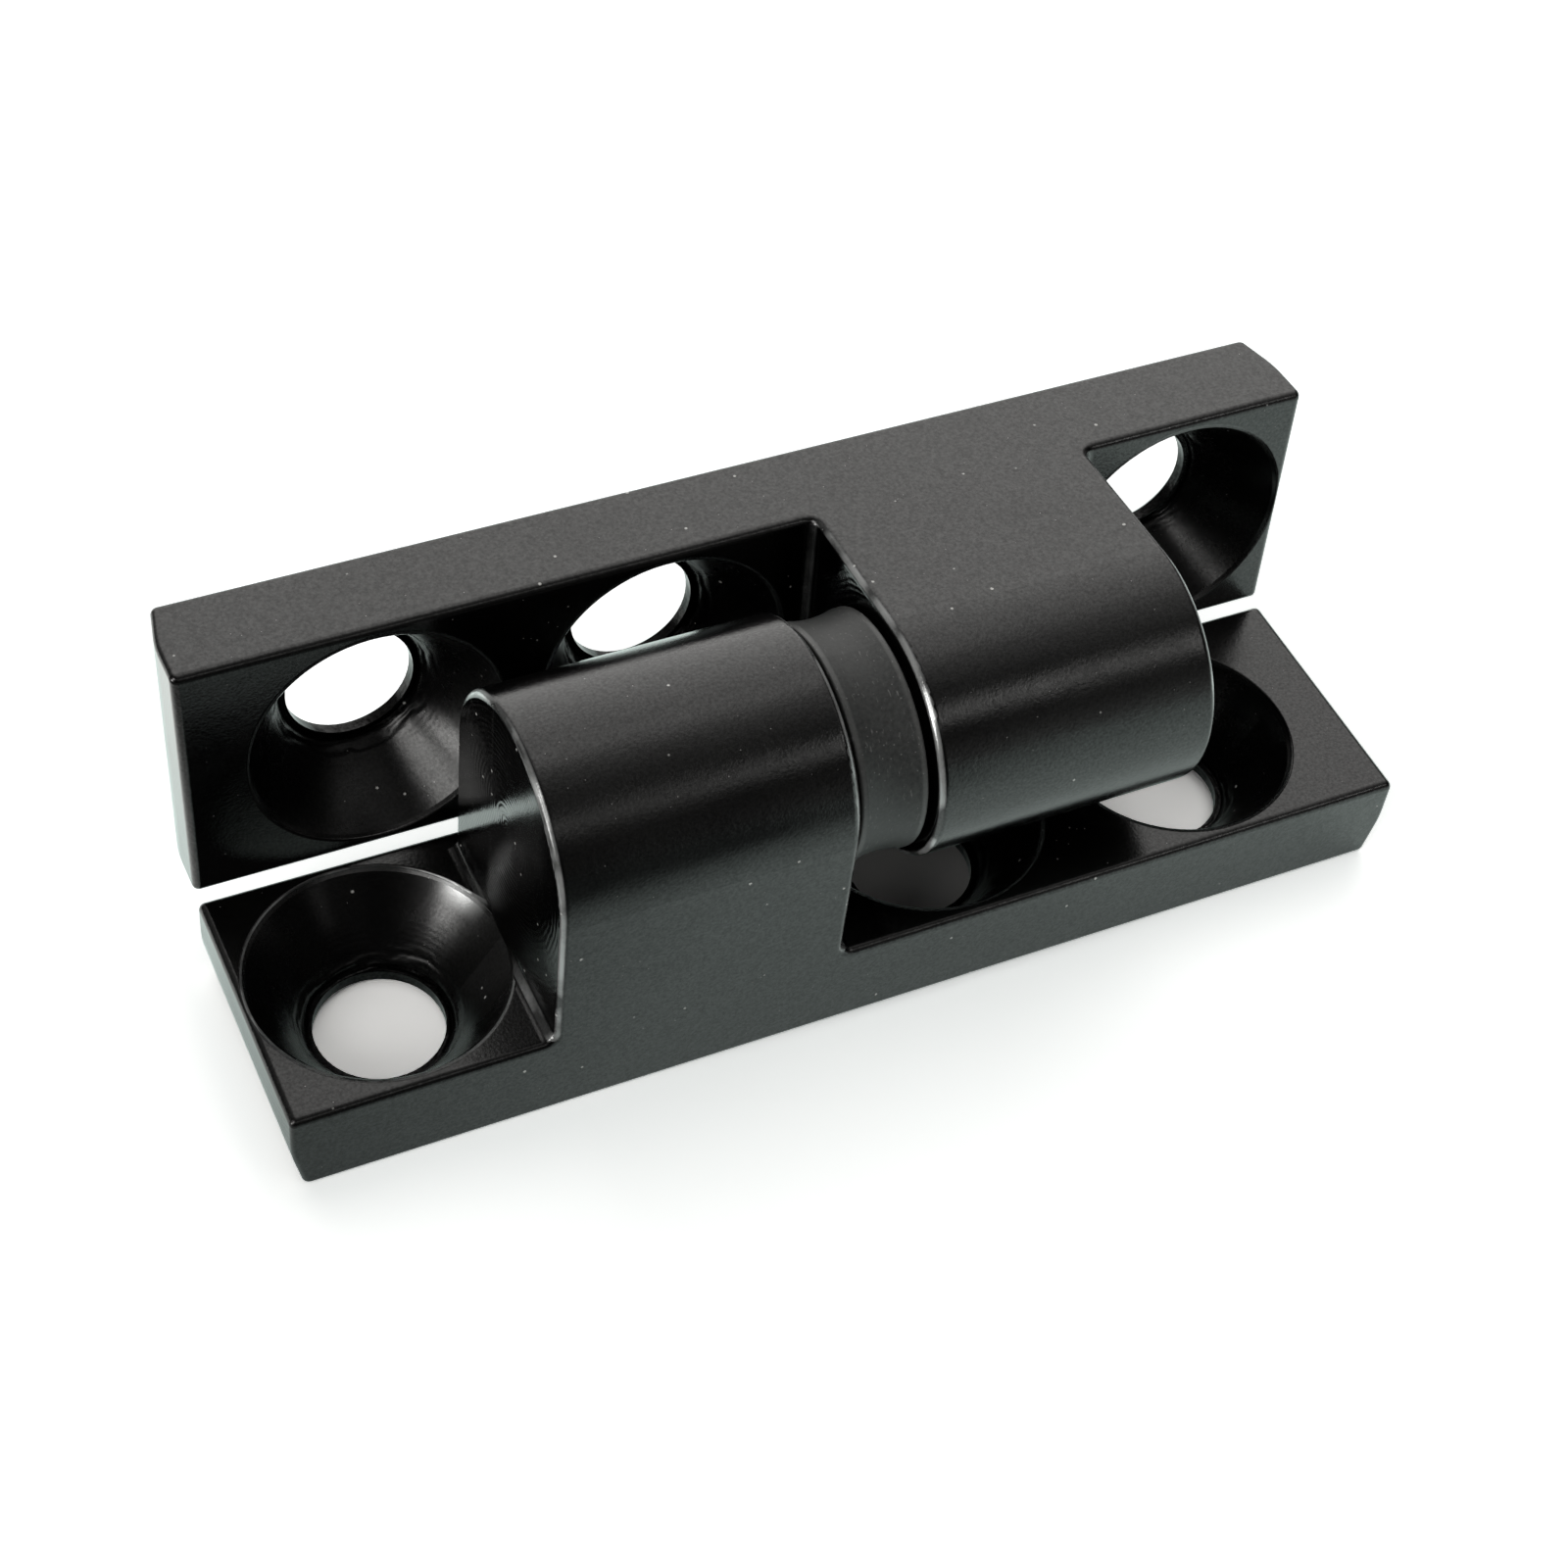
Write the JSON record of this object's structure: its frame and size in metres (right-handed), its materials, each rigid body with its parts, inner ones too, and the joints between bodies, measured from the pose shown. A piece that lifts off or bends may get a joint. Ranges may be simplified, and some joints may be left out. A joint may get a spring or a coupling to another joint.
{
  "type": "friction hinge",
  "caption": "Black cast friction hinge: two alike leaves with countersunk screw holes and closed knuckles, a spacer ring between them, standing open just past a right angle.",
  "frame": {"origin": "centre of the fixed leaf's mounting face, between its long sides and its ends", "axes": "+X along the hinge's shaft with the fixed leaf's knuckle at the -X end, +Y towards the swing leaf, +Z away from the fixed leaf's mounting face"},
  "size_m": [0.06, 0.0204, 0.02],
  "materials": {
    "leaf_casting": "satin black coating on a zinc casting",
    "spacer": "dull black moulding, lightly scuffed",
    "shaft_steel": "ground and oiled",
    "spring_steel": "hardened spring steel, oiled",
    "bush_metal": "plain bronze bearing metal"
  },
  "bodies": {
    "fixed": {"leaf_fixed": "leaf_casting", "hinge_shaft": "shaft_steel", "spacer_ring": "spacer", "retaining_ring": "spring_steel"},
    "swing": {"leaf_swing": "leaf_casting", "bearing_bush": "bush_metal", "friction_clip_01": "spring_steel", "friction_clip_02": "spring_steel", "friction_clip_03": "spring_steel", "friction_clip_04": "spring_steel", "friction_clip_05": "spring_steel", "friction_clip_06": "spring_steel", "friction_clip_07": "spring_steel", "friction_clip_08": "spring_steel", "friction_clip_09": "spring_steel", "friction_clip_10": "spring_steel", "friction_clip_11": "spring_steel", "friction_clip_12": "spring_steel", "friction_clip_13": "spring_steel", "friction_clip_14": "spring_steel"}
  },
  "joints": [
    {"name": "leaf_swing_hinge", "type": "hinge", "parent": "fixed", "child": "swing", "pos_m": [0, -0.00035, 0.01335], "axis": [1, 0, 0], "range_deg": [-1, 189]}
  ]
}
